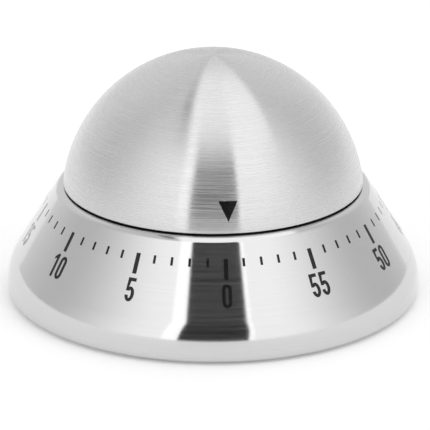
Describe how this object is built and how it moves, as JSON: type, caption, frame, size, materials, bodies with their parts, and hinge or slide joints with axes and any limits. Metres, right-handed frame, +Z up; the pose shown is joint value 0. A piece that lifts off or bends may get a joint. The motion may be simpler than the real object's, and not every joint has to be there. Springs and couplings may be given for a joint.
{
  "type": "kitchen timer",
  "caption": "Wind-up kitchen timer: a brushed steel dome knob turns on a steel cone base with a printed minute scale, over a clockwork that strikes a bell.",
  "frame": {"origin": "centre of the foot ring's underside, on the axis of the dome", "axes": "+Z up along the dome's axis, -Y towards the front, where the 0 mark of the scale is, +X to the right"},
  "size_m": [0.08, 0.08, 0.0483],
  "materials": {
    "base_steel": "fine circumferential brushing, bright",
    "dome_steel": "fine circumferential brushing, satin",
    "black_plastic": "moulded, fine grain",
    "white_plastic": "moulded, satin",
    "rubber": "matt",
    "zinc_screw": "zinc plated",
    "plate_steel": "stamped, brushed",
    "bell_steel": "nickel plated",
    "spring_steel": "blued",
    "bright_steel": "turned, polished",
    "brass": "stamped, satin",
    "scale_ink": "printed, matt"
  },
  "bodies": {
    "base": {"base_shell": "base_steel", "inner_housing": "black_plastic", "bottom_cover": "black_plastic", "foot_ring": "rubber", "cover_screws": "zinc_screw", "movement_screws": "zinc_screw", "lower_plate": "plate_steel", "upper_plate": "plate_steel", "plate_pillars": "plate_steel", "shaft_bush": "brass", "bell_post": "bright_steel", "bell": "bell_steel", "bell_screw": "zinc_screw", "spring_post": "bright_steel", "lever_post": "bright_steel", "mainspring": "spring_steel"},
    "dome": {"dome_shell": "dome_steel", "dome_insert": "white_plastic", "hub_ring": "spring_steel", "main_shaft": "bright_steel", "clutch_collar": "brass", "clutch_spring": "spring_steel", "shaft_clip": "spring_steel", "bell_cam": "plate_steel", "great_wheel": "brass"},
    "second_mobile": {"second_arbor": "bright_steel", "second_wheel": "brass", "striking_star": "brass"},
    "third_mobile": {"third_arbor": "bright_steel", "third_wheel": "brass"},
    "escape_mobile": {"escape_arbor": "bright_steel", "escape_wheel": "brass"},
    "pallet": {"pallet_arbor": "bright_steel", "pallet_fork": "brass", "balance_weight": "brass"},
    "hammer": {"hammer_arbor": "bright_steel", "hammer": "plate_steel", "hammer_tail": "plate_steel"},
    "release_lever": {"release_lever": "plate_steel"}
  },
  "joints": [
    {"name": "dome_turn", "type": "hinge", "parent": "base", "child": "dome", "pos_m": [0, 0, 0.0165], "axis": [0, 0, -1], "range_deg": [0, 354], "stiffness_Nm_per_rad": 0.01, "springref_deg": -45.84, "deforming": ["mainspring"]},
    {"name": "second_spin", "type": "hinge", "parent": "base", "child": "second_mobile", "pos_m": [0.0133, 0, 0.0165], "axis": [0, 0, -1], "range_deg": [-2160, 36]},
    {"name": "third_spin", "type": "hinge", "parent": "base", "child": "third_mobile", "pos_m": [0.01124, 0.01208, 0.0165], "axis": [0, 0, -1], "range_deg": [-216, 12960]},
    {"name": "escape_spin", "type": "hinge", "parent": "base", "child": "escape_mobile", "pos_m": [0.00429, 0.01779, 0.0165], "axis": [0, 0, -1], "range_deg": [-64800, 1080]},
    {"name": "pallet_rock", "type": "hinge", "parent": "base", "child": "pallet", "pos_m": [-0.00368, 0.01844, 0.0165], "axis": [0, 0, 1], "range_deg": [-5, 5]},
    {"name": "hammer_swing", "type": "hinge", "parent": "base", "child": "hammer", "pos_m": [0.01202, -0.01202, 0.0165], "axis": [0, 0, 1], "range_deg": [-8, 1.9]},
    {"name": "lever_drop", "type": "hinge", "parent": "base", "child": "release_lever", "pos_m": [-0.01739, -0.00466, 0.0165], "axis": [0, 0, 1], "range_deg": [-6.7, 0]}
  ],
  "couplings": [
    {"joint": "second_spin", "follows": "dome_turn", "ratio": -6},
    {"joint": "third_spin", "follows": "dome_turn", "ratio": 36},
    {"joint": "escape_spin", "follows": "dome_turn", "ratio": -180}
  ]
}
